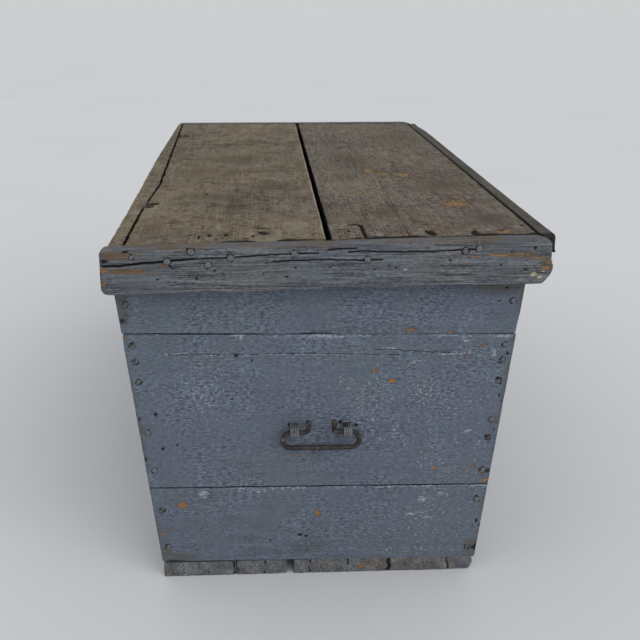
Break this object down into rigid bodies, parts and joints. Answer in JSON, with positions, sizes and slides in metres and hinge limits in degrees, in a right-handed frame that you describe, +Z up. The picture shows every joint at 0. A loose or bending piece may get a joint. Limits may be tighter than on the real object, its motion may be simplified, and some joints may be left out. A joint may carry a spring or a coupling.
{
  "type": "wooden trunk",
  "caption": "Nailed plank trunk with sloping long walls, a hinged board lid with end cleats, and an iron bail handle on each end.",
  "frame": {"origin": "middle of the underside, on the base boards' lower face, half way along the trunk and half way between its long walls", "axes": "+X along the trunk to its right end, -Y is the front, where the lid opens, +Y the hinged back, +Z up"},
  "size_m": [1.2196, 0.5449, 0.4493],
  "materials": {
    "painted_wall": "worn slate grey-blue milk paint on pine",
    "lid_wood": "worn grey-brown paint on pine",
    "painted_cleat": "worn grey-blue paint on pine, bare at the edges",
    "base_wood": "grey weathered pine",
    "nail_iron": "dark rusted wrought iron",
    "wrought_iron": "dark wrought iron, partly painted over"
  },
  "bodies": {
    "case": {"left_end_top_board": "painted_wall", "left_end_middle_board": "painted_wall", "left_end_bottom_board": "painted_wall", "right_end_top_board": "painted_wall", "right_end_middle_board": "painted_wall", "right_end_bottom_board": "painted_wall", "front_top_board": "painted_wall", "front_middle_board": "painted_wall", "front_bottom_board": "painted_wall", "back_top_board": "painted_wall", "back_middle_board": "painted_wall", "back_bottom_board": "painted_wall", "base_rear_board": "base_wood", "base_middle_board": "base_wood", "base_front_board": "base_wood", "left_end_nails": "nail_iron", "right_end_nails": "nail_iron", "base_nails": "nail_iron", "left_handle_staples": "wrought_iron", "right_handle_staples": "wrought_iron", "left_hinge_case_pin": "wrought_iron", "right_hinge_case_pin": "wrought_iron"},
    "lid": {"lid_rear_board": "lid_wood", "lid_front_board": "lid_wood", "lid_hinge_strip": "lid_wood", "lid_front_strip": "lid_wood", "lid_left_cleat": "painted_cleat", "lid_right_cleat": "painted_cleat", "lid_left_cleat_nails": "nail_iron", "lid_right_cleat_nails": "nail_iron", "lid_front_strip_nails": "nail_iron", "left_hinge_lid_pin": "wrought_iron", "right_hinge_lid_pin": "wrought_iron"},
    "left_handle": {"left_handle_bail": "wrought_iron"},
    "right_handle": {"right_handle_bail": "wrought_iron"}
  },
  "joints": [
    {"name": "lid_hinge", "type": "hinge", "parent": "case", "child": "lid", "pos_m": [0, 0.2535, 0.4235], "axis": [-1, 0, 0], "range_deg": [0, 112]},
    {"name": "left_handle_swing", "type": "hinge", "parent": "case", "child": "left_handle", "pos_m": [-0.595, 0, 0.209], "axis": [0, 1, 0], "range_deg": [-32, 60]},
    {"name": "right_handle_swing", "type": "hinge", "parent": "case", "child": "right_handle", "pos_m": [0.595, 0, 0.209], "axis": [0, -1, 0], "range_deg": [-32, 60]}
  ]
}
